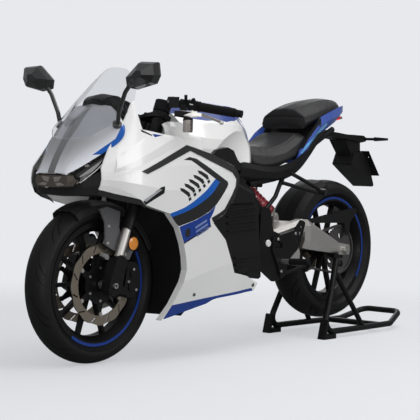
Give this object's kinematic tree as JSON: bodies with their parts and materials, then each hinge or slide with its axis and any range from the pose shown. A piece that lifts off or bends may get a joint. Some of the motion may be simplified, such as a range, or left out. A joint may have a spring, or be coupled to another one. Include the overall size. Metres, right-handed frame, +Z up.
{
  "type": "sport bike",
  "caption": "Faired electric sport bike on a rear paddock stand, with steering, spinning wheels and folding side stand.",
  "frame": {"origin": "on the floor under the middle of the bike and its stand, at the bottom centre of the bounding box", "axes": "+X forward, +Y to the rider's left, +Z up"},
  "size_m": [2.176, 0.7936, 1.092],
  "materials": {
    "white_paint": "gloss white paint",
    "grey_paint": "metallic grey paint",
    "blue_paint": "gloss blue paint",
    "black_plastic": "moulded black plastic",
    "seat_cover": "black vinyl",
    "black_metal": "black powder coat",
    "silver_metal": "brushed aluminium",
    "steel": "bare steel",
    "red_spring": "red enamel",
    "tyre": "rubber",
    "clear_screen": "clear grey",
    "lamp_lens": "smoked lens",
    "red_lens": "red lens"
  },
  "bodies": {
    "chassis": {"battery_covers": "black_plastic", "battery_pack": "black_plastic", "beak_panel": "black_plastic", "belly_pan": "black_plastic", "chain": "steel", "chain_guard": "black_plastic", "dash": "black_plastic", "headlight": "lamp_lens", "inner_duct": "black_plastic", "knee_covers": "black_plastic", "main_frame": "black_metal", "mirror_left": "black_plastic", "mirror_right": "black_plastic", "motor": "silver_metal", "nose_cowl": "grey_paint", "paddock_stand": "black_metal", "passenger_pegs": "black_metal", "pillion_seat": "seat_cover", "plate_bracket": "black_plastic", "rear_axle": "steel", "rear_caliper": "black_metal", "rear_hugger": "black_plastic", "rear_shock": "silver_metal", "rider_pegs": "black_metal", "rider_seat": "seat_cover", "seat_sides": "black_plastic", "shock_spring": "red_spring", "side_fairing_left": "white_paint", "side_fairing_right": "white_paint", "swingarm": "silver_metal", "tail_cowl": "blue_paint", "tail_lamp": "red_lens", "tank_cover": "white_paint", "trim_strips": "black_plastic", "upper_fairing_left": "white_paint", "upper_fairing_right": "white_paint", "windscreen": "clear_screen"},
    "steering": {"fork_left": "black_metal", "fork_right": "black_metal", "fork_yokes": "black_metal", "front_axle": "steel", "brake_calipers": "black_metal", "handlebar_left": "black_metal", "handlebar_right": "black_metal", "brake_levers": "silver_metal", "front_fender": "black_plastic", "fork_sliders": "silver_metal"},
    "front_wheel": {"front_rim": "black_metal", "front_tyre": "tyre", "front_discs": "steel", "disc_carriers": "black_metal"},
    "rear_wheel": {"rear_rim": "black_metal", "rear_tyre": "tyre", "rear_disc": "steel", "rear_sprocket": "steel"},
    "side_stand": {"side_stand": "black_metal"}
  },
  "joints": [
    {"name": "steering", "type": "hinge", "parent": "chassis", "child": "steering", "pos_m": [0.76344, 0, 0.28017], "axis": [-0.3665, 0, 0.9304], "range_deg": [-24, 24]},
    {"name": "front_wheel_spin", "type": "hinge", "parent": "steering", "child": "front_wheel", "pos_m": [0.796, 0, 0.293], "axis": [0, 1, 0], "continuous": true},
    {"name": "rear_wheel_spin", "type": "hinge", "parent": "chassis", "child": "rear_wheel", "pos_m": [-0.604, 0, 0.371], "axis": [0, 1, 0], "continuous": true},
    {"name": "side_stand_fold", "type": "hinge", "parent": "chassis", "child": "side_stand", "pos_m": [-0.128, 0.122, 0.277], "axis": [-0.1389, -0.9184, -0.3704], "range_deg": [0, 106]}
  ]
}
